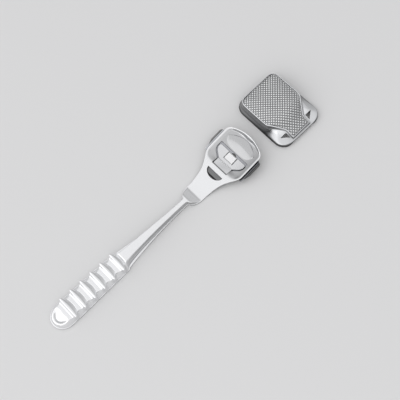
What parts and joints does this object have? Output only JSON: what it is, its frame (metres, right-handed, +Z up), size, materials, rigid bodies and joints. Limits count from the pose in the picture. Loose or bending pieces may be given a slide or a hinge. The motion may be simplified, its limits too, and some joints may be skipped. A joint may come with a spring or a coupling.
{
  "type": "foot scraper",
  "caption": "Stamped steel foot scraper with a ribbed grip, a dished head holding a clamped thin blade, and a detachable cross-hatched rasp cover.",
  "frame": {"origin": "middle of the footprint of the scraper and its rasp cover, on the surface they lie on", "axes": "+Y from the grip to the tip of the head, +Z up from the resting surface, +X across the tool to the right"},
  "size_m": [0.0464, 0.2212, 0.0106],
  "materials": {
    "polished_steel": "bright polished stamping",
    "pressed_steel": "satin pressed sheet",
    "blade_steel": "fine ground",
    "hatched_steel": "cross-hatched, bright tips"
  },
  "bodies": {
    "tool": {"handle": "polished_steel", "sole_plate": "pressed_steel"},
    "clamp": {"clamp_plate": "polished_steel"},
    "blade": {"blade": "blade_steel"},
    "rasp_cover": {"rasp_sheet": "hatched_steel", "rasp_carrier": "polished_steel"}
  },
  "joints": [
    {"name": "clamp_rock", "type": "hinge", "parent": "tool", "child": "clamp", "pos_m": [0.0025, 0.03351, 0.00273], "axis": [1, 0, 0], "range_deg": [0, 5], "stiffness_Nm_per_rad": 0.015, "springref_deg": -1.15},
    {"name": "blade_slide", "type": "hinge", "parent": "tool", "child": "blade", "pos_m": [0.0025, 0.05543, 0.05033], "axis": [0, 0.9816, 0.1907], "range_deg": [0, 50]},
    {"name": "rasp_cover_slide", "type": "slide", "parent": "tool", "child": "rasp_cover", "axis": [0, 1, 0], "range_m": [0, 0.05]}
  ]
}
